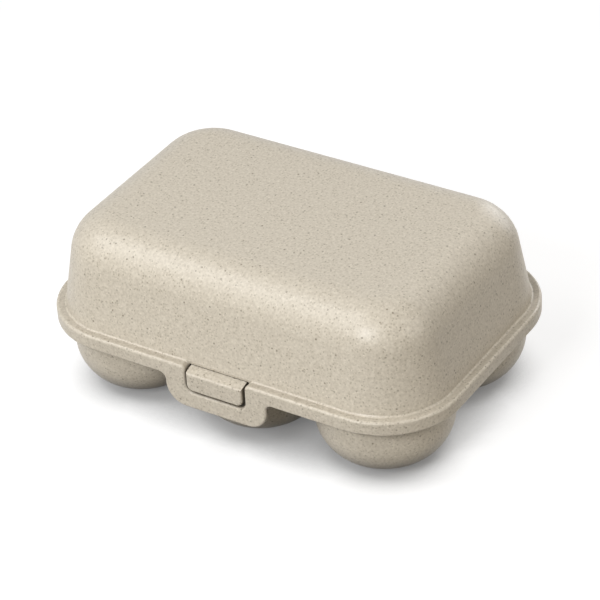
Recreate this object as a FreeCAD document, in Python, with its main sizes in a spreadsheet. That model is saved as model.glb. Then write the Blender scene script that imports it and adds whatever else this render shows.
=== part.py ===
"""Hinged storage box for six hen's eggs, moulded in fibre-filled plastic.

The middle of the box is at x = 0, y = 0 and the table is at z = 0. X runs along the
box, the latch faces -Y, the hinge is at +Y and Z is up. Lengths are in millimetres.
Each body is drawn with z = 0 at the top of the lid's rim and is then lifted to its
height above the table.
"""

import FreeCAD, Part
import math
import os

import Sketcher
from FreeCAD import Vector

# Driving dimensions: millimetres, and degrees for the two drafts
SIZES = {
    # Egg cups
    "cup_radius": 24.95,
    "cup_draft": 2,
    "cup_heel": 17.5,
    "cup_wall": 1.8,
    "cup_lip": 0.8,
    "cup_gap_along": 0.2,
    "cup_gap_across": 0.9,
    # From the outside of the cups to the outside of the lid's rim
    "end_margin": 4.95,
    "side_margin": 4.45,
    "corner_margin": 4.05,
    # Deck of the base, inside the lid's skirt
    "rim_above_table": 32,
    "deck_thick": 2,
    "deck_rounding": 0.5,
    "seat_gap": 0.1,
    "skirt_gap": 0.7,
    # Lid
    "rim_rounding": 1,
    "skirt_height": 5.5,
    "skirt_wall": 1.7,
    "flange_thick": 2,
    "dome_inset": 3.5,
    "dome_height": 35.5,
    "dome_draft": 10.2,
    "dome_shoulder": 16,
    "dome_wall": 2,
    "dome_foot": 0.8,
    # Latch loop below the lid's rim, and the window that the tab looks through
    "window_width": 24.2,
    "window_below_skirt": 4.8,
    "window_corner": 3,
    "window_shoulder": 2,
    "window_head": 0.6,
    "loop_arm": 8.4,
    "loop_bar": 6.7,
    "loop_corner": 7.8,
    "loop_root": 2.5,
    "loop_rounding": 0.8,
    # Press tab of the latch
    "tab_side_gap": 0.8,
    "tab_foot_gap": 1.2,
    "tab_proud": 0.6,
    "tab_front_drop": 2,
    "tab_head_gap": 0.3,
    "tab_shelf": 2.3,
    "tab_leg_length": 2.4,
    "tab_leg_width": 2,
    "tab_corner": 2.4,
    "tab_rounding": 0.8,
    "slide_gap": 0.2,
    # Hinge under the back of the rim
    "hinge_gap": 0.3,
    "knuckle_radius": 3.2,
    "knuckle_proud": 0.6,
    "knuckle_width": 10,
    "ear_width": 4,
    "pin_radius": 1.5,
    "pin_clearance": 0.05,
    "pin_chamfer": 0.3,
}

CUP_ROWS = ("front", "back")
CUP_COLUMNS = ("left", "middle", "right")
FULL_TURN = 360
QUARTER_TURN = 90
# A large rounding takes at most this share of the room that it has
ROUNDING_LIMIT_SHARE = 0.95
# Two places closer than this count as the same place when edges are picked
SAME_PLACE = 1e-4


def cup_place(index, names, pitch):
    """Return how far one cup of a row lies from the row's middle, as an expression."""
    return f"({index - (len(names) - 1) / 2} * {pitch})"


# Places worked out from the driving dimensions, as expressions on the sheet
PITCH_ALONG = "(2 * Sizes.cup_radius + Sizes.cup_gap_along)"
PITCH_ACROSS = "(2 * Sizes.cup_radius + Sizes.cup_gap_across)"
LAST_CUP_X = cup_place(len(CUP_COLUMNS) - 1, CUP_COLUMNS, PITCH_ALONG)
LAST_CUP_Y = cup_place(len(CUP_ROWS) - 1, CUP_ROWS, PITCH_ACROSS)
CUP_FRONT = f"({LAST_CUP_Y} + Sizes.cup_radius)"
HALF_LENGTH = f"({LAST_CUP_X} + Sizes.cup_radius + Sizes.end_margin)"
HALF_WIDTH = f"({CUP_FRONT} + Sizes.side_margin)"
RIM_CORNER = "(Sizes.cup_radius + Sizes.corner_margin)"
DOME_TOP_CORNER = f"({RIM_CORNER} - Sizes.dome_inset - Sizes.dome_height * tan(Sizes.dome_draft))"
DOME_SHOULDER = f"min(Sizes.dome_shoulder; {ROUNDING_LIMIT_SHARE} * {DOME_TOP_CORNER})"
DOME_WALL_ACROSS = "Sizes.dome_wall / cos(Sizes.dome_draft)"
DOME_INSIDE = f"(Sizes.dome_inset + {DOME_WALL_ACROSS} - Sizes.flange_thick * tan(Sizes.dome_draft))"
DECK_INSET = "(Sizes.skirt_wall + Sizes.skirt_gap)"
DECK_TOP = "(-Sizes.flange_thick - Sizes.seat_gap)"
DECK_UNDERSIDE = f"({DECK_TOP} - Sizes.deck_thick)"
DECK_MIDDLE = f"({DECK_TOP} - Sizes.deck_thick / 2)"
SKIRT_MIDDLE = "-Sizes.skirt_height / 2"
HALF_WINDOW = "Sizes.window_width / 2"
WINDOW_SILL = "(-Sizes.skirt_height - Sizes.window_below_skirt)"
HALF_LOOP = f"({HALF_WINDOW} + Sizes.loop_arm)"
LOOP_BOTTOM = f"({WINDOW_SILL} - Sizes.loop_bar)"
LOOP_SIDE = "(Sizes.window_below_skirt + Sizes.loop_bar - Sizes.loop_root)"
LOOP_CORNER = f"min(Sizes.loop_corner; {ROUNDING_LIMIT_SHARE} * {LOOP_SIDE})"
HALF_TAB = f"({HALF_WINDOW} - Sizes.tab_side_gap)"
TAB_FRONT = f"(-{HALF_WIDTH} - Sizes.tab_proud)"
# Pressed in, the tab's face lies behind the loop and its back still clears the cup
TAB_TRAVEL = "(Sizes.tab_proud + Sizes.skirt_wall + Sizes.slide_gap)"
TAB_BACK = f"(-{CUP_FRONT} - Sizes.slide_gap - {TAB_TRAVEL})"
TAB_NOTCH_BACK = f"({TAB_BACK} + {TAB_TRAVEL} + Sizes.slide_gap / 2)"
TAB_SHELF_BACK = f"({TAB_BACK} + Sizes.tab_shelf)"
TAB_LEG_END = f"({TAB_SHELF_BACK} + Sizes.tab_leg_length)"
TAB_TOP = "(-Sizes.window_head - Sizes.tab_head_gap)"
TAB_SOLE = f"({DECK_TOP} + Sizes.slide_gap)"
TAB_BOTTOM = f"({WINDOW_SILL} + Sizes.tab_foot_gap)"
# The barrels hang clear below the skirt and the deck, midway between two cups
HINGE_PLACE_X = f"{PITCH_ALONG} / 2"
HINGE_Y = f"({HALF_WIDTH} + Sizes.knuckle_proud - Sizes.knuckle_radius)"
HINGE_CEILING = f"min(-Sizes.skirt_height; {DECK_UNDERSIDE})"
HINGE_Z = f"({HINGE_CEILING} - Sizes.hinge_gap - Sizes.knuckle_radius)"
KNUCKLE_SIDE = "Sizes.knuckle_width / 2"
EAR_NEAR_SIDE = f"({KNUCKLE_SIDE} + Sizes.hinge_gap)"
EAR_FAR_SIDE = f"({EAR_NEAR_SIDE} + Sizes.ear_width)"


def make_sheet(doc):
    """Write the driving dimensions into the document's spreadsheet."""
    sheet = doc.addObject("Spreadsheet::Sheet", "Sizes")
    for row, (alias, value) in enumerate(SIZES.items(), start=1):
        sheet.set(f"A{row}", alias)
        sheet.set(f"B{row}", str(value))
        sheet.setAlias(f"B{row}", alias)
    doc.recompute()
    return sheet


def measure(obj, expression):
    """Return the present value of an expression on the sheet."""
    value = obj.Document.Sizes.evalExpression(expression)
    return float(getattr(value, "Value", value))


def new_body(doc, label):
    """Start a body whose origin is lifted to the top of the rim."""
    body = doc.addObject("PartDesign::Body", label)
    body.Label = label
    body.setExpression("Placement.Base.z", "Sizes.rim_above_table")
    return body


def origin_feature(body, role):
    """Return one of the body's own origin planes or axes."""
    return next(item for item in body.Origin.OriginFeatures if item.Role == role)


def new_sketch(body, name, plane, **offsets):
    """Add a sketch on an origin plane, moved in the plane's own x, y and z."""
    sketch = body.newObject("Sketcher::SketchObject", name)
    sketch.AttachmentSupport = [(origin_feature(body, plane), "")]
    sketch.MapMode = "FlatFace"
    for axis, expression in offsets.items():
        sketch.setExpression(f"AttachmentOffset.Base.{axis}", expression)
    return sketch


def bind(sketch, constraint, name, expression):
    """Add a dimension to a sketch and tie it to the sheet."""
    index = sketch.addConstraint(constraint)
    sketch.renameConstraint(index, name)
    sketch.setExpression(f"Constraints.{name}", expression)


def fix_point(sketch, geometry, end, name, place):
    """Tie one point of a sketch to an (x, y) pair of expressions."""
    for kind, expression in zip(("DistanceX", "DistanceY"), place):
        value = measure(sketch, expression)
        bind(sketch, Sketcher.Constraint(kind, -1, 1, geometry, end, value), name + kind[-1], expression)


def draw_polygon(sketch, places):
    """Draw a closed outline of straight lines through (x, y) pairs of expressions."""
    points = [Vector(measure(sketch, x), measure(sketch, y), 0) for x, y in places]
    count = len(points)
    for index, point in enumerate(points):
        sketch.addGeometry(Part.LineSegment(point, points[(index + 1) % count]), False)
    for index, place in enumerate(places):
        sketch.addConstraint(Sketcher.Constraint("Coincident", index, 2, (index + 1) % count, 1))
        fix_point(sketch, index, 1, f"point{index}", place)


def draw_rectangle(sketch, left, right, bottom, top):
    """Draw a rectangle between four expressions."""
    draw_polygon(sketch, [(left, bottom), (right, bottom), (right, top), (left, top)])


def draw_circle(sketch, radius, place):
    """Draw a circle about an (x, y) pair of expressions."""
    centre = Vector(measure(sketch, place[0]), measure(sketch, place[1]), 0)
    index = sketch.addGeometry(Part.Circle(centre, Vector(0, 0, 1), measure(sketch, radius)), False)
    bind(sketch, Sketcher.Constraint("Radius", index, measure(sketch, radius)), "radius", radius)
    fix_point(sketch, index, 3, "centre", place)


def draw_plan(sketch, inset):
    """Draw the rim's plan, a rectangle with round corners, moved in by an inset."""
    half_x = f"{HALF_LENGTH} - {inset}"
    half_y = f"{HALF_WIDTH} - {inset}"
    corner = f"{RIM_CORNER} - {inset}"
    radius = measure(sketch, corner)
    flat_x = measure(sketch, half_x) - radius
    flat_y = measure(sketch, half_y) - radius
    turns = [(1, -1), (1, 1), (-1, 1), (-1, -1)]
    centres = [Vector(sign_x * flat_x, sign_y * flat_y, 0) for sign_x, sign_y in turns]
    for quarter, centre in enumerate(centres):
        start = (quarter - 1) * math.pi / 2
        circle = Part.Circle(centre, Vector(0, 0, 1), radius)
        sketch.addGeometry(Part.ArcOfCircle(circle, start, start + math.pi / 2), False)
    arcs = [sketch.Geometry[index] for index in range(len(turns))]
    for index, arc in enumerate(arcs):
        following = (index + 1) % len(turns)
        line = sketch.addGeometry(Part.LineSegment(arc.EndPoint, arcs[following].StartPoint), False)
        sketch.addConstraint(Sketcher.Constraint("Tangent", index, 2, line, 1))
        sketch.addConstraint(Sketcher.Constraint("Tangent", line, 2, following, 1))
        sketch.addConstraint(Sketcher.Constraint("Horizontal" if index % 2 else "Vertical", line))
        if following:
            sketch.addConstraint(Sketcher.Constraint("Equal", index, following))
    bind(sketch, Sketcher.Constraint("Radius", 0, radius), "corner", corner)
    fix_point(sketch, 0, 3, "front_right", (f"{half_x} - ({corner})", f"-({half_y}) + {corner}"))
    fix_point(sketch, 2, 3, "back_left", (f"-({half_x}) + {corner}", f"{half_y} - ({corner})"))


def draw_cup_profile(sketch, wall, top):
    """Draw half a bowl up to a height, moved in from its outside by a wall expression.

    The side leans in by the draft, the heel is one arc and the foot is flat.
    """
    below_deck_top = f"({DECK_TOP} - {top})"
    lean_in = f"({wall} / cos(Sizes.cup_draft) + {below_deck_top} * tan(Sizes.cup_draft))"
    radius = f"Sizes.cup_radius - {lean_in}"
    heel = f"Sizes.cup_heel - {wall}"
    foot = f"{wall} - Sizes.rim_above_table"
    mouth_x, mouth_z = measure(sketch, radius), measure(sketch, top)
    heel_radius, foot_z = measure(sketch, heel), measure(sketch, foot)
    lean = math.radians(measure(sketch, "Sizes.cup_draft"))
    heel_z = foot_z + heel_radius
    side_end_z = heel_z - heel_radius * math.sin(lean)
    side_end_x = mouth_x - (mouth_z - side_end_z) * math.tan(lean)
    heel_centre = Vector(side_end_x - heel_radius * math.cos(lean), heel_z, 0)
    top_middle, mouth = Vector(0, mouth_z, 0), Vector(mouth_x, mouth_z, 0)
    side_end = Vector(side_end_x, side_end_z, 0)
    foot_edge, foot_middle = Vector(heel_centre.x, foot_z, 0), Vector(0, foot_z, 0)
    side = sketch.addGeometry(Part.LineSegment(side_end, mouth), False)
    rim = sketch.addGeometry(Part.LineSegment(mouth, top_middle), False)
    axis = sketch.addGeometry(Part.LineSegment(top_middle, foot_middle), False)
    sole = sketch.addGeometry(Part.LineSegment(foot_middle, foot_edge), False)
    circle = Part.Circle(heel_centre, Vector(0, 0, 1), heel_radius)
    bend = sketch.addGeometry(Part.ArcOfCircle(circle, -math.pi / 2, -lean), False)
    sketch.addConstraint(Sketcher.Constraint("Coincident", side, 2, rim, 1))
    sketch.addConstraint(Sketcher.Constraint("Coincident", rim, 2, axis, 1))
    sketch.addConstraint(Sketcher.Constraint("Coincident", axis, 2, sole, 1))
    sketch.addConstraint(Sketcher.Constraint("Tangent", sole, 2, bend, 1))
    sketch.addConstraint(Sketcher.Constraint("Tangent", bend, 2, side, 1))
    sketch.addConstraint(Sketcher.Constraint("Horizontal", rim))
    sketch.addConstraint(Sketcher.Constraint("Horizontal", sole))
    sketch.addConstraint(Sketcher.Constraint("PointOnObject", axis, 1, -2))
    fix_point(sketch, side, 2, "mouth", (radius, top))
    fix_point(sketch, axis, 2, "foot", ("0", foot))
    bind(sketch, Sketcher.Constraint("Radius", bend, heel_radius), "heel", heel)
    lean_expression = f"({QUARTER_TURN} - Sizes.cup_draft) * 1 deg"
    bind(sketch, Sketcher.Constraint("Angle", side, math.pi / 2 - lean), "lean", lean_expression)


def add_feature(body, kind, name, profile, expressions, **flags):
    """Add a feature made from a sketch, and check that it changes the body's volume."""
    doc = body.Document
    doc.recompute()
    before = body.Shape.Volume if body.Tip else 0
    item = body.newObject("PartDesign::" + kind, name)
    item.Profile = profile
    for flag, value in flags.items():
        setattr(item, flag, value)
    for size, expression in expressions.items():
        item.setExpression(size, expression)
    doc.recompute()
    change = item.Shape.Volume - before
    if kind in ("Pocket", "Groove"):
        change = -change
    if change <= 0:
        raise ValueError(f"{body.Label}: {name} doesn't change the shape the right way")
    return item


def dress_edges(body, kind, name, size, wanted):
    """Fillet or chamfer the edges of the tip whose bounding box passes a test."""
    body.Document.recompute()
    base = body.Tip
    edges = [
        f"Edge{index}"
        for index, edge in enumerate(base.Shape.Edges, start=1)
        if wanted(edge.BoundBox)
    ]
    if not edges:
        raise ValueError(f"{body.Label}: {name} finds no edge")
    item = body.newObject("PartDesign::" + kind, name)
    item.Base = (base, edges)
    item.setExpression("Radius" if kind == "Fillet" else "Size", size)
    body.Document.recompute()
    return item


def mirror(body, name, originals):
    """Repeat features on the other side of the box's middle."""
    item = body.newObject("PartDesign::Mirrored", name)
    item.Originals = originals
    item.MirrorPlane = (origin_feature(body, "YZ_Plane"), [""])
    body.Tip = item
    body.Document.recompute()
    return item


def repeat_cups(body, name, original):
    """Repeat the first cup's feature over the whole deck."""
    item = body.newObject("PartDesign::MultiTransform", name)
    steps = []
    for axis, pitch, count in (
        ("X_Axis", PITCH_ALONG, len(CUP_COLUMNS)),
        ("Y_Axis", PITCH_ACROSS, len(CUP_ROWS)),
    ):
        step = body.newObject("PartDesign::LinearPattern", f"{name}_{axis}")
        step.Direction = (origin_feature(body, axis), [""])
        step.Occurrences = count
        step.setExpression("Length", f"{pitch} * {count - 1}")
        steps.append(step)
    item.Originals = [original]
    item.Transformations = steps
    body.Tip = item
    body.Document.recompute()
    return item


def same(first, second):
    """Tell whether two lengths are the same place."""
    return abs(first - second) < SAME_PLACE


def level(box, height):
    """Tell whether an edge lies flat at a height."""
    return same(box.ZMin, height) and same(box.ZMax, height)


def in_front_plane(box, place):
    """Tell whether an edge lies in a plane that faces the front."""
    return same(box.YMin, place) and same(box.YMax, place)


def across(box, place_x, place_z):
    """Tell whether an edge runs front to back at x = +-place_x and a height."""
    return level(box, place_z) and same(box.XMin, box.XMax) and same(abs(box.XMin), place_x)


def on_rim_outline(body, box):
    """Tell whether an edge reaches the rim's outermost length or width."""
    reach_x = max(abs(box.XMin), abs(box.XMax))
    reach_y = max(abs(box.YMin), abs(box.YMax))
    return same(reach_x, measure(body, HALF_LENGTH)) or same(reach_y, measure(body, HALF_WIDTH))


def build_rim_and_dome(body):
    """Make the solid outside of the lid: the rim, and the dome with its roundings."""
    rim = new_sketch(body, "rim_plan", "XY_Plane")
    draw_plan(rim, "0")
    add_feature(body, "Pad", "rim", rim, {"Length": "Sizes.skirt_height"}, Reversed=True)
    dome = new_sketch(body, "dome_plan", "XY_Plane")
    draw_plan(dome, "Sizes.dome_inset")
    dome_sizes = {"Length": "Sizes.dome_height", "TaperAngle": "-Sizes.dome_draft"}
    add_feature(body, "Pad", "dome", dome, dome_sizes)
    height = measure(body, "Sizes.dome_height")
    dress_edges(body, "Fillet", "shoulder", DOME_SHOULDER, lambda box: level(box, height))
    dress_edges(
        body,
        "Fillet",
        "dome_foot",
        "Sizes.dome_foot",
        lambda box: level(box, 0) and not on_rim_outline(body, box),
    )


def build_loop(body):
    """Add the latch loop's plate below the front of the rim, still without its window."""
    plate = new_sketch(body, "loop_outline", "XZ_Plane", z=HALF_WIDTH)
    draw_rectangle(plate, f"-{HALF_LOOP}", HALF_LOOP, LOOP_BOTTOM, SKIRT_MIDDLE)
    add_feature(body, "Pad", "loop", plate, {"Length": "Sizes.skirt_wall"}, Reversed=True)
    half_loop = measure(body, HALF_LOOP)
    low = measure(body, LOOP_BOTTOM)
    root = -measure(body, "Sizes.skirt_height")
    dress_edges(body, "Fillet", "loop_corners", LOOP_CORNER, lambda box: across(box, half_loop, low))
    dress_edges(body, "Fillet", "loop_roots", "Sizes.loop_root", lambda box: across(box, half_loop, root))


def cut_window(body):
    """Cut the latch window through the loop and the rim, with round shoulders at the top."""
    window = new_sketch(body, "window_outline", "XZ_Plane", z=HALF_WIDTH)
    draw_rectangle(window, f"-{HALF_WINDOW}", HALF_WINDOW, WINDOW_SILL, "Sizes.dome_foot")
    add_feature(body, "Pocket", "window", window, {"Length": "Sizes.dome_inset"}, Reversed=False)
    half_window = measure(body, HALF_WINDOW)
    sill = measure(body, WINDOW_SILL)
    dress_edges(
        body, "Fillet", "window_corners", "Sizes.window_corner", lambda box: across(box, half_window, sill)
    )
    dress_edges(
        body, "Fillet", "window_shoulders", "Sizes.window_shoulder", lambda box: across(box, half_window, 0)
    )


def round_rim(body):
    """Round the rim's top edge and the window in one run, then the loop and the skirt's foot."""
    front = -measure(body, HALF_WIDTH)
    skirt_foot = -measure(body, "Sizes.skirt_height")
    window_side = measure(body, f"{HALF_WINDOW} + Sizes.rim_rounding") + SAME_PLACE
    window_foot = measure(body, f"{WINDOW_SILL} - Sizes.rim_rounding") - SAME_PLACE
    dress_edges(
        body,
        "Fillet",
        "rim_edge",
        "Sizes.rim_rounding",
        lambda box: level(box, 0) and on_rim_outline(body, box),
    )

    def beyond_window(box):
        return box.ZMin < window_foot or max(abs(box.XMin), abs(box.XMax)) > window_side

    dress_edges(
        body,
        "Fillet",
        "loop_edges",
        "Sizes.loop_rounding",
        lambda box: in_front_plane(box, front) and box.ZMax < skirt_foot + SAME_PLACE and beyond_window(box),
    )


def build_dome_core(doc):
    """Make the space inside the dome as a body of its own, to be cut from the lid."""
    body = doc.addObject("PartDesign::Body", "dome_core")
    plan = new_sketch(body, "core_plan", "XY_Plane", z="-Sizes.flange_thick")
    draw_plan(plan, DOME_INSIDE)
    core_sizes = {
        "Length": "Sizes.flange_thick + Sizes.dome_height - Sizes.dome_wall",
        "TaperAngle": "-Sizes.dome_draft",
    }
    add_feature(body, "Pad", "core", plan, core_sizes)
    ceiling = measure(body, "Sizes.dome_height - Sizes.dome_wall")
    inner_shoulder = f"{DOME_SHOULDER} - Sizes.dome_wall"
    dress_edges(body, "Fillet", "core_shoulder", inner_shoulder, lambda box: level(box, ceiling))
    return body


def hollow_lid(body):
    """Hollow the rim from below, and the dome with an even wall."""
    skirt = new_sketch(body, "skirt_inside", "XY_Plane", z="-Sizes.skirt_height")
    draw_plan(skirt, "Sizes.skirt_wall")
    skirt_depth = {"Length": "Sizes.skirt_height - Sizes.flange_thick"}
    add_feature(body, "Pocket", "skirt_hollow", skirt, skirt_depth, Reversed=True)
    core = build_dome_core(body.Document)
    hollow = body.newObject("PartDesign::Boolean", "dome_hollow")
    hollow.Type = "Cut"
    hollow.addObject(core)
    body.Tip = hollow
    body.Document.recompute()


def cut_head(body):
    """Open the window's head under the dome's wall, for the tab's shelf."""
    head = new_sketch(body, "head_outline", "XZ_Plane", z=HALF_WIDTH)
    draw_rectangle(head, f"-{HALF_WINDOW}", HALF_WINDOW, "-Sizes.flange_thick", "-Sizes.window_head")
    head_depth = {"Length": f"{DOME_INSIDE} + Sizes.dome_wall"}
    add_feature(body, "Pocket", "head", head, head_depth, Reversed=False)


def add_knuckles(body):
    """Hang the lid's two hinge knuckles from the back of the skirt."""
    start = f"{HINGE_PLACE_X} - {KNUCKLE_SIDE}"
    width = {"Length": "Sizes.knuckle_width"}
    neck = new_sketch(body, "neck_outline", "YZ_Plane", z=start)
    draw_polygon(
        neck,
        [
            (f"{HALF_WIDTH} - Sizes.skirt_wall", SKIRT_MIDDLE),
            (HALF_WIDTH, SKIRT_MIDDLE),
            (f"{HINGE_Y} + Sizes.knuckle_radius", HINGE_Z),
            (HINGE_Y, HINGE_Z),
        ],
    )
    neck_pad = add_feature(body, "Pad", "neck", neck, width)
    barrel = new_sketch(body, "barrel_outline", "YZ_Plane", z=start)
    draw_circle(barrel, "Sizes.knuckle_radius", (HINGE_Y, HINGE_Z))
    barrel_pad = add_feature(body, "Pad", "barrel", barrel, width)
    bore = new_sketch(body, "bore_outline", "YZ_Plane", z=start)
    draw_circle(bore, "Sizes.pin_radius + Sizes.pin_clearance", (HINGE_Y, HINGE_Z))
    bore_cut = add_feature(body, "Pocket", "bore", bore, width, Reversed=True)
    mirror(body, "knuckles", [neck_pad, barrel_pad, bore_cut])


def build_lid(doc):
    """Make the lid: dome, flange, skirt, latch loop and hinge knuckles in one moulding."""
    body = new_body(doc, "lid_shell")
    build_rim_and_dome(body)
    build_loop(body)
    cut_window(body)
    round_rim(body)
    hollow_lid(body)
    cut_head(body)
    add_knuckles(body)
    return body


def add_deck(body):
    """Make the base's flat deck, with the notch that the tab slides in."""
    plan = new_sketch(body, "deck_plan", "XY_Plane", z=DECK_UNDERSIDE)
    draw_plan(plan, DECK_INSET)
    add_feature(body, "Pad", "deck", plan, {"Length": "Sizes.deck_thick"})
    heights = (measure(body, DECK_UNDERSIDE), measure(body, DECK_TOP))
    dress_edges(
        body,
        "Fillet",
        "deck_edges",
        "Sizes.deck_rounding",
        lambda box: level(box, heights[0]) or level(box, heights[1]),
    )
    notch = new_sketch(body, "tab_notch_plan", "XY_Plane", z=DECK_UNDERSIDE)
    notch_half = f"({HALF_TAB} + Sizes.slide_gap)"
    draw_rectangle(notch, f"-{notch_half}", notch_half, f"-{HALF_WIDTH}", TAB_NOTCH_BACK)
    add_feature(body, "Pocket", "tab_notch", notch, {"Length": "Sizes.deck_thick"}, Reversed=True)


def cut_mouths(body):
    """Cut the mouths of the egg cups through the deck and round their lips."""
    first_cup = {
        "x": cup_place(0, CUP_COLUMNS, PITCH_ALONG),
        "z": f"-{cup_place(0, CUP_ROWS, PITCH_ACROSS)}",
    }
    profile = new_sketch(body, "mouth_profile", "XZ_Plane", **first_cup)
    draw_cup_profile(profile, "Sizes.cup_wall", DECK_TOP)
    turn = {"Angle": str(FULL_TURN)}
    mouth = add_feature(body, "Groove", "mouth", profile, turn, ReferenceAxis=(profile, ["V_Axis"]))
    repeat_cups(body, "mouths", mouth)
    top = measure(body, DECK_TOP)
    width = 2 * measure(body, "Sizes.cup_radius - Sizes.cup_wall / cos(Sizes.cup_draft)")
    dress_edges(
        body, "Fillet", "cup_lips", "Sizes.cup_lip", lambda box: level(box, top) and same(box.XLength, width)
    )


def add_ears(body):
    """Hang the base's four hinge ears from the back of the deck."""
    made = []
    for side, start in (
        ("inner", f"{HINGE_PLACE_X} - {EAR_FAR_SIDE}"),
        ("outer", f"{HINGE_PLACE_X} + {EAR_NEAR_SIDE}"),
    ):
        width = {"Length": "Sizes.ear_width"}
        web = new_sketch(body, f"{side}_web_outline", "YZ_Plane", z=start)
        draw_rectangle(web, f"{HINGE_Y} - Sizes.knuckle_radius", HINGE_Y, HINGE_Z, DECK_MIDDLE)
        made.append(add_feature(body, "Pad", f"{side}_web", web, width))
        eye = new_sketch(body, f"{side}_eye_outline", "YZ_Plane", z=start)
        draw_circle(eye, "Sizes.knuckle_radius", (HINGE_Y, HINGE_Z))
        made.append(add_feature(body, "Pad", f"{side}_eye", eye, width))
        hole = new_sketch(body, f"{side}_hole_outline", "YZ_Plane", z=start)
        draw_circle(hole, "Sizes.pin_radius", (HINGE_Y, HINGE_Z))
        made.append(add_feature(body, "Pocket", f"{side}_hole", hole, width, Reversed=True))
    mirror(body, "ears", made)


def build_deck(doc):
    """Make the base's deck, with the mouths of the egg cups and the hinge ears."""
    body = new_body(doc, "base_deck")
    add_deck(body)
    cut_mouths(body)
    add_ears(body)
    return body


def build_cup(doc, row, column):
    """Make one egg cup, a bowl that hangs from the underside of the deck."""
    body = new_body(doc, f"egg_cup_{CUP_ROWS[row]}_{CUP_COLUMNS[column]}")
    body.setExpression("Placement.Base.x", cup_place(column, CUP_COLUMNS, PITCH_ALONG))
    body.setExpression("Placement.Base.y", cup_place(row, CUP_ROWS, PITCH_ACROSS))
    for kind, name, wall in (("Revolution", "bowl", "0"), ("Groove", "hollow", "Sizes.cup_wall")):
        profile = new_sketch(body, name + "_profile", "XZ_Plane")
        draw_cup_profile(profile, wall, DECK_UNDERSIDE)
        body.Document.recompute()
        turn = {"Angle": str(FULL_TURN)}
        add_feature(body, kind, name, profile, turn, ReferenceAxis=(profile, ["V_Axis"]))
    return body


def build_tab(doc):
    """Make the latch's press tab, with the shelf and legs that lie on the deck."""
    body = new_body(doc, "latch_tab")
    profile = new_sketch(body, "tab_profile", "YZ_Plane", z=f"-{HALF_TAB}")
    wall_foot = f"-{HALF_WIDTH} + Sizes.dome_inset"
    draw_polygon(
        profile,
        [
            (TAB_FRONT, TAB_BOTTOM),
            (TAB_BACK, TAB_BOTTOM),
            (TAB_BACK, TAB_SOLE),
            (TAB_SHELF_BACK, TAB_SOLE),
            (TAB_SHELF_BACK, TAB_TOP),
            (wall_foot, TAB_TOP),
            (TAB_FRONT, "-Sizes.tab_front_drop"),
        ],
    )
    add_feature(body, "Pad", "tab", profile, {"Length": f"2 * {HALF_TAB}"})
    half_tab = measure(body, HALF_TAB)
    low = measure(body, TAB_BOTTOM)
    front = measure(body, TAB_FRONT)
    dress_edges(body, "Fillet", "tab_corners", "Sizes.tab_corner", lambda box: across(box, half_tab, low))
    dress_edges(
        body, "Fillet", "tab_edges", "Sizes.tab_rounding", lambda box: in_front_plane(box, front)
    )
    leg = new_sketch(body, "leg_outline", "YZ_Plane", z=f"{HALF_TAB} - Sizes.tab_leg_width")
    draw_rectangle(leg, TAB_SHELF_BACK, TAB_LEG_END, TAB_SOLE, TAB_TOP)
    leg_pad = add_feature(body, "Pad", "leg", leg, {"Length": "Sizes.tab_leg_width"})
    mirror(body, "legs", [leg_pad])
    return body


def build_pin(doc, side, sign):
    """Make one hinge pin, as long as the knuckle between its two ears."""
    body = new_body(doc, f"hinge_pin_{side}")
    section = new_sketch(body, "pin_section", "YZ_Plane", z=f"{sign} * {HINGE_PLACE_X} - {EAR_FAR_SIDE}")
    draw_circle(section, "Sizes.pin_radius", (HINGE_Y, HINGE_Z))
    add_feature(body, "Pad", "pin", section, {"Length": f"2 * {EAR_FAR_SIDE}"})
    thick = 2 * measure(body, "Sizes.pin_radius")
    dress_edges(body, "Chamfer", "pin_ends", "Sizes.pin_chamfer", lambda box: same(box.YLength, thick))
    return body


def check_model(doc, bodies):
    """Raise an error if any object failed or any sub-part isn't one valid solid."""
    doc.recompute()
    for item in doc.Objects:
        if "Invalid" in item.State or "Error" in item.State:
            raise ValueError(f"{item.Label} failed: {item.State}")
    for body in bodies:
        shape = body.Shape
        if shape.isNull() or not shape.isValid() or len(shape.Solids) != 1:
            raise ValueError(f"{body.Label} isn't one valid solid")


def main():
    """Build every sub-part, check it and write its shape."""
    doc = FreeCAD.newDocument("egg_box")
    make_sheet(doc)
    bodies = [build_deck(doc), build_lid(doc), build_tab(doc)]
    bodies += [
        build_cup(doc, row, column)
        for row in range(len(CUP_ROWS))
        for column in range(len(CUP_COLUMNS))
    ]
    bodies += [build_pin(doc, side, sign) for side, sign in (("left", -1), ("right", 1))]
    check_model(doc, bodies)
    os.makedirs("parts", exist_ok=True)
    for body in bodies:
        body.Shape.exportStep(f"parts/{body.Label}.step")
        box = body.Shape.optimalBoundingBox(False, False)
        print(f"{body.Label}: {box.XLength:.2f} x {box.YLength:.2f} x {box.ZLength:.2f} mm")


main()
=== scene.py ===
"""Looks of a hinged keeper for six eggs, moulded in a fibre-filled plastic.

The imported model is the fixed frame. Lengths are in metres, X runs along the box,
the latch looks towards -Y, the hinge is at +Y and Z is up from the table.
"""

import logging
import math
from dataclasses import dataclass
from enum import Enum
from typing import Any, Optional

import bpy
from mathutils import Matrix, Vector


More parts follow.
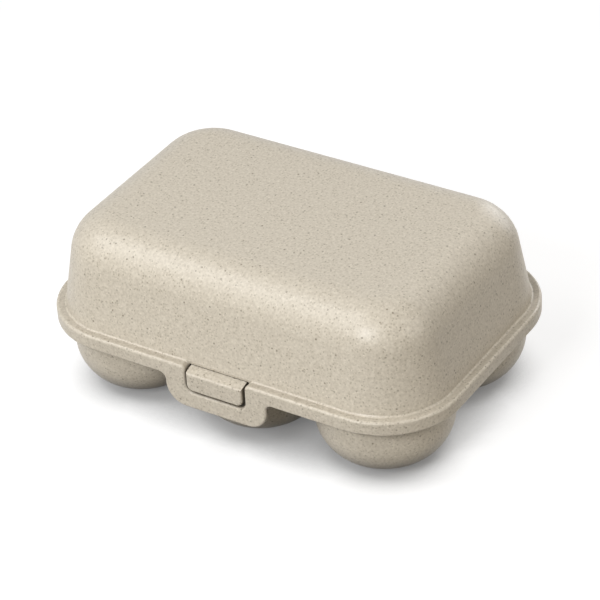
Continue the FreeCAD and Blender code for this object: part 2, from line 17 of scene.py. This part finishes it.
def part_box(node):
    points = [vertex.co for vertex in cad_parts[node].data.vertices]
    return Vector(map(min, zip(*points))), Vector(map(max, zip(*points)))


log = logging.getLogger("egg_box")
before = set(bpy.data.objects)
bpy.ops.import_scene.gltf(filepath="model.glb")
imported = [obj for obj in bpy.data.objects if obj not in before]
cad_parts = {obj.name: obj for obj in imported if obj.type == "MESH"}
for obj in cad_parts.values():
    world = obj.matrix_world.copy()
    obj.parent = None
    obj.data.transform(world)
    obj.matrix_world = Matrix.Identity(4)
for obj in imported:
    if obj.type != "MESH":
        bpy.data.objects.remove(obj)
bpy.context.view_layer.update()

MM = 0.001
IMAGE_SIDE = 600
RIM_TOP_MM = 32.0
WHITE = (1.0, 1.0, 1.0, 1.0)
NOISE_MIDDLE = 0.5


def linear(hex_colour: str) -> tuple[float, ...]:
    """Turns an sRGB hex colour to linear light, by the standard's own curve.

    Args:
        hex_colour: A hash sign and six hex digits.

    Returns:
        Linear red, green and blue, and an alpha of 1.
    """
    values = [int(hex_colour[start:start + 2], 16) / 255 for start in (1, 3, 5)]
    light = [v / 12.92 if v <= 0.04045 else ((v + 0.055) / 1.055) ** 2.4 for v in values]
    return (*light, 1.0)


def repeats(size_mm: float) -> float:
    """Gives the texture scale, per metre, of a pattern that repeats at this size in mm."""
    return 1 / (size_mm * MM)


def add_node(
    tree: bpy.types.NodeTree,
    kind: str,
    inputs: Optional[dict[Any, Any]] = None,
    **settings: Any,
) -> bpy.types.Node:
    """Adds one shader node with its settings, values and links.

    Args:
        tree: The material's or world's node tree.
        kind: Blender's name for the node.
        inputs: A value, or a socket to link, for each input by name or index.
        settings: The node's own options.

    Returns:
        The new node.
    """
    node = tree.nodes.new(kind)
    for name, value in settings.items():
        setattr(node, name, value)
    for key, value in (inputs or {}).items():
        if isinstance(value, bpy.types.NodeSocket):
            tree.links.new(value, node.inputs[key])
        else:
            node.inputs[key].default_value = value
    return node


def new_tree(name: str) -> tuple[bpy.types.Material, bpy.types.NodeTree]:
    """Makes an empty node material.

    Args:
        name: The material's name.

    Returns:
        The material and its cleared node tree.
    """
    material = bpy.data.materials.new(name)
    material.use_nodes = True
    material.node_tree.nodes.clear()
    return material, material.node_tree


class Mix(Enum):
    """Input and output numbers of the colour mix node."""

    FACTOR = 0
    FIRST = 6
    SECOND = 7
    RESULT = 2


@dataclass(frozen=True)
class Fleck:
    """One grade of the ground fibre that shows in the plastic.

    Attributes:
        spacing_mm: Distance between the places that may hold a fleck.
        size_mm: Width of a fleck.
        share: Share of those places that hold one.
        colour: Colour of the fleck.
        cover: How far the fleck hides the plastic, from 0 to 1.
    """

    spacing_mm: float
    size_mm: float
    share: float
    colour: str
    cover: float

    def mask(
        self, tree: bpy.types.NodeTree, place: bpy.types.NodeSocket
    ) -> bpy.types.NodeSocket:
        """Draws where the flecks lie.

        Args:
            tree: The material's node tree.
            place: The point on the object, in metres.

        Returns:
            A socket that is 0 on bare plastic and up to cover on a fleck.
        """
        cells = add_node(
            tree, "ShaderNodeTexVoronoi",
            {"Vector": place, "Scale": repeats(self.spacing_mm)}, feature="F1",
        )
        radius = self.size_mm / self.spacing_mm / 2
        core = radius / 2
        spot = add_node(
            tree, "ShaderNodeMapRange",
            {"Value": cells.outputs["Distance"], "From Min": core, "From Max": radius,
             "To Min": 1.0, "To Max": 0.0},
            interpolation_type="SMOOTHSTEP",
        )
        draw = add_node(tree, "ShaderNodeSeparateColor", {"Color": cells.outputs["Color"]})
        depth = add_node(
            tree, "ShaderNodeMapRange",
            {"Value": draw.outputs["Red"], "From Min": 1 - self.share, "From Max": 1.0,
             "To Min": 0.0, "To Max": self.cover},
        )
        held = add_node(
            tree, "ShaderNodeMath", {0: spot.outputs["Result"], 1: depth.outputs["Result"]},
            operation="MULTIPLY",
        )
        return held.outputs["Value"]


@dataclass(frozen=True)
class FibreFilledPlastic:
    """Polypropylene filled with ground husk fibre, injection moulded in a lightly grained tool.

    The eye gets a matt sand tone, a faint clouding where the filler runs denser,
    small brown-grey flecks, and soft broad highlights on the rounded edges.

    Attributes:
        name: The material's name.
        colour: Colour where there is least filler.
        cloud_colour: Colour where the filler is densest.
        cloud_mm: Size of the clouding.
        cloud_detail: Finer steps in the clouding.
        cloud_spread: The noise values at which the clouding starts and ends.
        cloud_cover: How far the clouding goes from the one colour to the other.
        outline_mm: Size of the steps in a fleck's outline.
        outline_detail: Finer steps in the outline.
        outline_push_mm: How far those steps go in and out.
        grain_mm: Size of the tool's grain.
        grain_detail: Finer steps in the grain.
        grain_height_mm: Height of the grain.
        grain_spread: The noise values at the grain's smoothest and roughest places.
        roughness: Roughness at those two places.
        ior: Index of refraction.
        painted_shade_colour: Colour of the painted shade, deep in a gap.
        painted_shade_reach_mm: How near another face has to be for the painted shade to dim the
            colour.
        painted_shade_open: How open a place is where the painted shade is full, and where there
            is none.
        painted_shade_rays: Number of rays that feel for other faces, for the painted shade.
        flecks: The grades of fibre that show.
    """

    name: str = "fibre_filled_polypropylene"
    colour: str = "#DAD2C3"
    cloud_colour: str = "#BCB3A3"
    cloud_mm: float = 0.95
    cloud_detail: float = 3.0
    cloud_spread: tuple[float, float] = (0.25, 0.75)
    cloud_cover: float = 0.9
    outline_mm: float = 0.35
    outline_detail: float = 0.0
    outline_push_mm: float = 0.25
    # A pixel of the picture is about 0.35 mm here. The tool's grain and the smallest
    # fibres are finer, so both are drawn as coarse as they need to be to show.
    grain_mm: float = 0.5
    grain_detail: float = 2.0
    grain_height_mm: float = 0.012
    grain_spread: tuple[float, float] = (0.3, 0.7)
    roughness: tuple[float, float] = (0.34, 0.44)
    ior: float = 1.49
    painted_shade_colour: str = "#5A5143"
    painted_shade_reach_mm: float = 20.0
    painted_shade_open: tuple[float, float] = (0.05, 0.8)
    painted_shade_rays: int = 8
    flecks: tuple[Fleck, ...] = (
        Fleck(spacing_mm=1.0, size_mm=0.8, share=0.9, colour="#9F9583", cover=0.8),
        Fleck(spacing_mm=2.1, size_mm=0.95, share=0.7, colour="#7B7160", cover=0.85),
        Fleck(spacing_mm=1.3, size_mm=0.7, share=0.5, colour="#E6DED0", cover=0.7),
    )

    def material(self) -> bpy.types.Material:
        """Makes the plastic from its clouding, flecks, dimmed corners and grain.

        Returns:
            The node material.
        """
        material, tree = new_tree(self.name)
        place = add_node(tree, "ShaderNodeTexCoord").outputs["Object"]
        ragged = self._ragged(tree, place)
        colour = self._clouded(tree, place)
        for fleck in self.flecks:
            mixed = add_node(
                tree, "ShaderNodeMix",
                {Mix.FACTOR.value: fleck.mask(tree, ragged), Mix.FIRST.value: colour,
                 Mix.SECOND.value: linear(fleck.colour)},
                data_type="RGBA",
            )
            colour = mixed.outputs[Mix.RESULT.value]
        # Painted shade: the colour is dimmed in gaps and inside corners, where other faces are
        # near.
        colour = self._painted_shade(tree, colour)
        grain = add_node(
            tree, "ShaderNodeTexNoise",
            {"Vector": place, "Scale": repeats(self.grain_mm), "Detail": self.grain_detail},
        )
        smooth, coarse = self.grain_spread
        least, most = self.roughness
        rough = add_node(
            tree, "ShaderNodeMapRange",
            {"Value": grain.outputs[0], "From Min": smooth, "From Max": coarse,
             "To Min": least, "To Max": most},
        )
        bump = add_node(
            tree, "ShaderNodeBump",
            {"Height": grain.outputs[0], "Distance": self.grain_height_mm * MM, "Strength": 1.0},
        )
        plastic = add_node(
            tree, "ShaderNodeBsdfPrincipled",
            {"Base Color": colour, "Roughness": rough.outputs["Result"],
             "Normal": bump.outputs["Normal"], "IOR": self.ior},
        )
        add_node(tree, "ShaderNodeOutputMaterial", {"Surface": plastic.outputs["BSDF"]})
        return material

    def _ragged(
        self, tree: bpy.types.NodeTree, place: bpy.types.NodeSocket
    ) -> bpy.types.NodeSocket:
        """Shifts the place a little, so that the flecks get broken outlines.

        Args:
            tree: The material's node tree.
            place: The point on the object, in metres.

        Returns:
            The shifted point.
        """
        push = add_node(
            tree, "ShaderNodeTexNoise",
            {"Vector": place, "Scale": repeats(self.outline_mm), "Detail": self.outline_detail},
        )
        centred = add_node(
            tree, "ShaderNodeVectorMath", {0: push.outputs["Color"], 1: (NOISE_MIDDLE,) * 3},
            operation="SUBTRACT",
        )
        shifted = add_node(
            tree, "ShaderNodeVectorMath",
            {0: centred.outputs["Vector"], 1: (self.outline_push_mm * MM,) * 3, 2: place},
            operation="MULTIPLY_ADD",
        )
        return shifted.outputs["Vector"]

    def _painted_shade(
        self, tree: bpy.types.NodeTree, colour: bpy.types.NodeSocket
    ) -> bpy.types.NodeSocket:
        """Dims the colour in gaps and inside corners, to deepen the shade there.

        Args:
            tree: The material's node tree.
            colour: The colour on open faces.

        Returns:
            The colour with dimmed corners.
        """
        nearby = add_node(
            tree, "ShaderNodeAmbientOcclusion", {"Distance": self.painted_shade_reach_mm * MM},
            samples=self.painted_shade_rays,
        )
        closed, open_air = self.painted_shade_open
        openness = add_node(
            tree, "ShaderNodeMapRange",
            {"Value": nearby.outputs["AO"], "From Min": closed, "From Max": open_air},
        )
        mixed = add_node(
            tree, "ShaderNodeMix",
            {Mix.FACTOR.value: openness.outputs["Result"],
             Mix.FIRST.value: linear(self.painted_shade_colour), Mix.SECOND.value: colour},
            data_type="RGBA",
        )
        return mixed.outputs[Mix.RESULT.value]

    def _clouded(
        self, tree: bpy.types.NodeTree, place: bpy.types.NodeSocket
    ) -> bpy.types.NodeSocket:
        """Clouds the plastic's own colour.

        Args:
            tree: The material's node tree.
            place: The point on the object, in metres.

        Returns:
            The clouded colour.
        """
        cloud = add_node(
            tree, "ShaderNodeTexNoise",
            {"Vector": place, "Scale": repeats(self.cloud_mm), "Detail": self.cloud_detail},
        )
        thin, dense = self.cloud_spread
        half_cover = self.cloud_cover / 2
        cover = add_node(
            tree, "ShaderNodeMapRange",
            {"Value": cloud.outputs[0], "From Min": thin, "From Max": dense,
             "To Min": NOISE_MIDDLE - half_cover, "To Max": NOISE_MIDDLE + half_cover},
        )
        mixed = add_node(
            tree, "ShaderNodeMix",
            {Mix.FACTOR.value: cover.outputs["Result"], Mix.FIRST.value: linear(self.colour),
             Mix.SECOND.value: linear(self.cloud_colour)},
            data_type="RGBA",
        )
        return mixed.outputs[Mix.RESULT.value]


@dataclass(frozen=True)
class AcetalRod:
    """Acetal, cut from drawn rod.

    The eye gets a waxy grey-white, smoother than the moulding round it, with faint lines
    along the rod.

    Attributes:
        name: The material's name.
        colour: Colour between the lines.
        streak_colour: Colour of the lines.
        streak_mm: Distance from line to line.
        streak_run: How many times longer than that a line is.
        streak_detail: Finer steps in the lines.
        roughness: Least and greatest roughness.
        ior: Index of refraction.
    """

    name: str = "drawn_acetal"
    colour: str = "#D8D4CA"
    streak_colour: str = "#CBC6BA"
    # Drawing lines are finer than this on a real rod. At this size a close view shows them.
    streak_mm: float = 0.3
    streak_run: float = 8.0
    streak_detail: float = 2.0
    roughness: tuple[float, float] = (0.28, 0.38)
    ior: float = 1.48

    def material(self) -> bpy.types.Material:
        """Makes the rod's plastic, with its drawing lines along X.

        Returns:
            The node material.
        """
        material, tree = new_tree(self.name)
        place = add_node(tree, "ShaderNodeTexCoord").outputs["Object"]
        drawn = add_node(
            tree, "ShaderNodeMapping", {"Vector": place, "Scale": (1 / self.streak_run, 1.0, 1.0)}
        )
        streak = add_node(
            tree, "ShaderNodeTexNoise",
            {"Vector": drawn.outputs["Vector"], "Scale": repeats(self.streak_mm),
             "Detail": self.streak_detail},
        )
        colour = add_node(
            tree, "ShaderNodeMix",
            {Mix.FACTOR.value: streak.outputs[0], Mix.FIRST.value: linear(self.colour),
             Mix.SECOND.value: linear(self.streak_colour)},
            data_type="RGBA",
        )
        least, most = self.roughness
        rough = add_node(
            tree, "ShaderNodeMapRange",
            {"Value": streak.outputs[0], "To Min": least, "To Max": most},
        )
        plastic = add_node(
            tree, "ShaderNodeBsdfPrincipled",
            {"Base Color": colour.outputs[Mix.RESULT.value], "Roughness": rough.outputs["Result"],
             "IOR": self.ior},
        )
        add_node(tree, "ShaderNodeOutputMaterial", {"Surface": plastic.outputs["BSDF"]})
        return material


@dataclass
class Moulding:
    """A sub-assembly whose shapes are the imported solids.

    Attributes:
        title: What the log calls it.
        prefixes: How the names of its nodes start.
    """

    title: str
    prefixes: tuple[str, ...]

    def nodes(self) -> list[bpy.types.Object]:
        """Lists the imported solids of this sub-assembly by name."""
        parts = sorted(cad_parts.items())
        return [part for name, part in parts if name.startswith(self.prefixes)]

    def dress(self, material: bpy.types.Material) -> None:
        """Gives every solid of the sub-assembly its material.

        Args:
            material: The finish.
        """
        for part in self.nodes():
            part.data.materials.clear()
            part.data.materials.append(material)
            low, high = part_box(part.name)
            size = (high - low) / MM
            log.info(
                "%s: %s, %.1f x %.1f x %.1f mm, %s",
                self.title, part.name, *size, material.name,
            )


@dataclass
class EggBase(Moulding):
    """The deck with its six cups."""

    title: str = "base"
    prefixes: tuple[str, ...] = ("base_deck", "egg_cup_")


@dataclass
class Lid(Moulding):
    """The domed lid with the loop of its latch."""

    title: str = "lid"
    prefixes: tuple[str, ...] = ("lid_shell",)


@dataclass
class LatchTab(Moulding):
    """The press tab that springs into the loop."""

    title: str = "latch"
    prefixes: tuple[str, ...] = ("latch_tab",)


@dataclass
class HingePins(Moulding):
    """The two pins that the lid turns on."""

    title: str = "hinge"
    prefixes: tuple[str, ...] = ("hinge_pin",)


def bearing(azimuth_deg: float, elevation_deg: float) -> Vector:
    """Gives the direction from the box to something that stands round it.

    Args:
        azimuth_deg: 0 is in front of the latch and 90 is to the right, at +X.
        elevation_deg: Height above the horizon.

    Returns:
        A vector of length 1.
    """
    azimuth, elevation = math.radians(azimuth_deg), math.radians(elevation_deg)
    flat = math.cos(elevation)
    return Vector((math.sin(azimuth) * flat, -math.cos(azimuth) * flat, math.sin(elevation)))


def background_rays(tree: bpy.types.NodeTree) -> bpy.types.NodeSocket:
    """Tells the rays that show the background from the rays that carry its light.

    Args:
        tree: The node tree to work in.

    Returns:
        A socket that is 1 for a ray from the camera, a gloss or a clear piece.
    """
    path = add_node(tree, "ShaderNodeLightPath").outputs
    gloss = add_node(
        tree, "ShaderNodeMath",
        {0: path["Is Camera Ray"], 1: path["Is Glossy Ray"]}, operation="MAXIMUM",
    )
    seen = add_node(
        tree, "ShaderNodeMath",
        {0: gloss.outputs["Value"], 1: path["Is Transmission Ray"]}, operation="MAXIMUM",
    )
    return seen.outputs["Value"]


@dataclass(frozen=True)
class Softbox:
    """A square studio lamp that faces the box.

    Attributes:
        name: The lamp's name.
        azimuth_deg: Where it stands round the box.
        elevation_deg: Its height above the horizon.
        distance: Distance from the box.
        side: Side of its square front.
        share: How bright it makes a white card that faces it, where 1 is full white.
        colour: Colour of its light.
    """

    name: str
    azimuth_deg: float
    elevation_deg: float
    distance: float
    side: float
    share: float
    colour: str = "#FFFFFF"

    def build(self, target: Vector) -> None:
        """Sets the lamp up.

        Args:
            target: The point that it faces.
        """
        lamp = bpy.data.lights.new(self.name, "AREA")
        lamp.shape = "SQUARE"
        lamp.size = self.side
        lamp.color = linear(self.colour)[:3]
        lamp.energy = self.share * math.pi ** 2 * self.distance ** 2
        holder = bpy.data.objects.new(self.name, lamp)
        back = bearing(self.azimuth_deg, self.elevation_deg)
        holder.location = target + back * self.distance
        holder.rotation_euler = (-back).to_track_quat("-Z", "Y").to_euler()
        bpy.context.scene.collection.objects.link(holder)


@dataclass(frozen=True)
class Studio:
    """A pale table under soft lamps, with a white surround.

    Attributes:
        half_width: Half of the table's side, in metres.
        table_colour: Colour of the light that the table sends back to the box.
        surround_colour: Colour of the light from the room.
        surround: How bright the room is, where 1 is white.
        shadow_share: Share of the lamps' light in the look of the table.
        painted_shadow_reach_mm: How near the box has to be for the painted shadow to darken the
            table.
        painted_shadow_open: How open the table is where the painted shadow is darkest, and where
            it is white.
        painted_shadow_rays: Number of rays that feel for the box, for the painted shadow.
        painted_shadow_darkest_glow: The table's own brightness where the painted shadow is
            darkest.
        open_glow: The same in the open, with the lamps' share.
        fade_start: Distance from the middle, in metres, at which the table turns to white.
        fade_end: Distance at which it is all white.
        softboxes: The lamps.
    """

    half_width: float = 3.0
    table_colour: str = "#787060"
    surround_colour: str = "#FFF8EC"
    surround: float = 0.09
    shadow_share: float = 0.36
    painted_shadow_reach_mm: float = 28.0
    painted_shadow_open: tuple[float, float] = (0.3, 0.72)
    painted_shadow_rays: int = 16
    painted_shadow_darkest_glow: float = 0.14
    open_glow: float = 1.14
    fade_start: float = 0.14
    fade_end: float = 0.36
    softboxes: tuple[Softbox, ...] = (
        Softbox(
            "right_softbox", azimuth_deg=94.0, elevation_deg=30.0, distance=1.0, side=0.6,
            share=0.27, colour="#FFF9F0",
        ),
        Softbox(
            "back_softbox", azimuth_deg=176.0, elevation_deg=17.0, distance=1.1, side=0.7,
            share=0.40,
        ),
        Softbox(
            "left_softbox", azimuth_deg=-52.0, elevation_deg=48.0, distance=1.0, side=0.5,
            share=0.40,
        ),
        Softbox(
            "front_softbox", azimuth_deg=0.0, elevation_deg=35.0, distance=1.1, side=0.4,
            share=0.67,
        ),
    )

    def build(self, target: Vector) -> None:
        """Sets up the table, the surround and the lamps.

        Args:
            target: The point that the lamps face.
        """
        for softbox in self.softboxes:
            softbox.build(target)
        self._table()
        self._surround()
        bpy.context.scene.view_settings.view_transform = "Standard"
        log.info("studio: %d softboxes over a pale table", len(self.softboxes))

    def _table(self) -> None:
        """Lays the table: pressed card that looks matt and white, and keeps the box's shadow."""
        side = self.half_width
        mesh = bpy.data.meshes.new("table")
        corners = [(-side, -side, 0), (side, -side, 0), (side, side, 0), (-side, side, 0)]
        mesh.from_pydata(corners, [], [(0, 1, 2, 3)])
        table = bpy.data.objects.new("table", mesh)
        bpy.context.scene.collection.objects.link(table)
        mesh.materials.append(self._card())

    def _card(self) -> bpy.types.Material:
        """Makes the table's card.

        A ray that shows the background sees the lamps' light and shadow on the card, with
        a painted shadow, a soft dark patch under the box, and white further out. The light
        that goes on to the box comes from a duller card.

        Returns:
            The node material.
        """
        material, tree = new_tree("matt_white_card")
        card = add_node(tree, "ShaderNodeBsdfDiffuse", {"Color": linear(self.table_colour)})
        share = self.shadow_share
        lit = add_node(tree, "ShaderNodeBsdfDiffuse", {"Color": (share, share, share, 1.0)})
        # Painted shadow: the table's glow dims near the box, a soft dark patch under it.
        nearby = add_node(
            tree, "ShaderNodeAmbientOcclusion", {"Distance": self.painted_shadow_reach_mm * MM},
            samples=self.painted_shadow_rays,
        )
        covered, open_air = self.painted_shadow_open
        openness = add_node(
            tree, "ShaderNodeMapRange",
            {"Value": nearby.outputs["AO"], "From Min": covered, "From Max": open_air,
             "To Min": self.painted_shadow_darkest_glow, "To Max": self.open_glow - share},
        )
        glow = add_node(
            tree, "ShaderNodeEmission", {"Color": WHITE, "Strength": openness.outputs["Result"]}
        )
        shown = add_node(tree, "ShaderNodeAddShader", {0: lit.outputs[0], 1: glow.outputs[0]})
        place = add_node(tree, "ShaderNodeTexCoord").outputs["Object"]
        spread = add_node(tree, "ShaderNodeVectorMath", {0: place}, operation="LENGTH")
        far = add_node(
            tree, "ShaderNodeMapRange",
            {"Value": spread.outputs["Value"], "From Min": self.fade_start,
             "From Max": self.fade_end},
            interpolation_type="SMOOTHSTEP",
        )
        white = add_node(tree, "ShaderNodeEmission", {"Color": WHITE, "Strength": 1.0})
        faded = add_node(
            tree, "ShaderNodeMixShader",
            {0: far.outputs["Result"], 1: shown.outputs[0], 2: white.outputs[0]},
        )
        both = add_node(
            tree, "ShaderNodeMixShader",
            {0: background_rays(tree), 1: card.outputs[0], 2: faded.outputs[0]},
        )
        add_node(tree, "ShaderNodeOutputMaterial", {"Surface": both.outputs[0]})
        return material

    def _surround(self) -> None:
        """Lights the room evenly and shows it as white."""
        world = bpy.data.worlds.new("studio")
        world.use_nodes = True
        tree = world.node_tree
        tree.nodes.clear()
        soft = add_node(
            tree, "ShaderNodeBackground",
            {"Color": linear(self.surround_colour), "Strength": self.surround},
        )
        white = add_node(tree, "ShaderNodeBackground", {"Color": WHITE, "Strength": 1.0})
        both = add_node(
            tree, "ShaderNodeMixShader",
            {0: background_rays(tree), 1: soft.outputs[0], 2: white.outputs[0]},
        )
        add_node(tree, "ShaderNodeOutputWorld", {"Surface": both.outputs[0]})
        bpy.context.scene.world = world


@dataclass(frozen=True)
class Viewpoint:
    """The camera, at the angle from which the box is seen in the picture.

    Attributes:
        azimuth_deg: Where it stands round the box.
        elevation_deg: Its height above the horizon.
        roll_deg: How far it leans.
        distance: Distance to the point that it looks at.
        focal_px: Focal length in pixels of the picture.
        centre_px: The point of the picture that the lens looks at, from the top left.
        sensor_mm: Width of the sensor.
    """

    azimuth_deg: float = 33.85
    elevation_deg: float = 34.22
    roll_deg: float = -3.87
    distance: float = 1.02013
    focal_px: float = 2883.8
    centre_px: tuple[float, float] = (297.5, 295.55)
    sensor_mm: float = 36.0

    def build(self, target: Vector) -> None:
        """Sets the camera up as the scene's own.

        Args:
            target: The point that it looks at.
        """
        lens = bpy.data.cameras.new("viewpoint")
        lens.sensor_width = self.sensor_mm
        lens.lens = self.focal_px / IMAGE_SIDE * self.sensor_mm
        lens.shift_x = 0.5 - self.centre_px[0] / IMAGE_SIDE
        lens.shift_y = self.centre_px[1] / IMAGE_SIDE - 0.5
        camera = bpy.data.objects.new("viewpoint", lens)
        back = bearing(self.azimuth_deg, self.elevation_deg)
        level = Vector((0, 0, 1)).cross(back).normalized()
        upright = back.cross(level)
        turn = Matrix((level, upright, back)).transposed()
        lean = Matrix.Rotation(math.radians(self.roll_deg), 3, "Z")
        camera.matrix_world = Matrix.LocRotScale(target + back * self.distance, turn @ lean, None)
        bpy.context.scene.collection.objects.link(camera)
        bpy.context.scene.camera = camera
        log.info("camera: azimuth %.1f, elevation %.1f", self.azimuth_deg, self.elevation_deg)


def main() -> None:
    """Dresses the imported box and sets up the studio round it."""
    logging.basicConfig(level=logging.INFO, format="%(message)s")
    plastic = FibreFilledPlastic().material()
    for moulding in (EggBase(), Lid(), LatchTab()):
        moulding.dress(plastic)
    HingePins().dress(AcetalRod().material())
    rim_top = Vector((0, 0, RIM_TOP_MM * MM))
    Studio().build(rim_top)
    Viewpoint().build(rim_top)


if __name__ == "__main__":
    main()
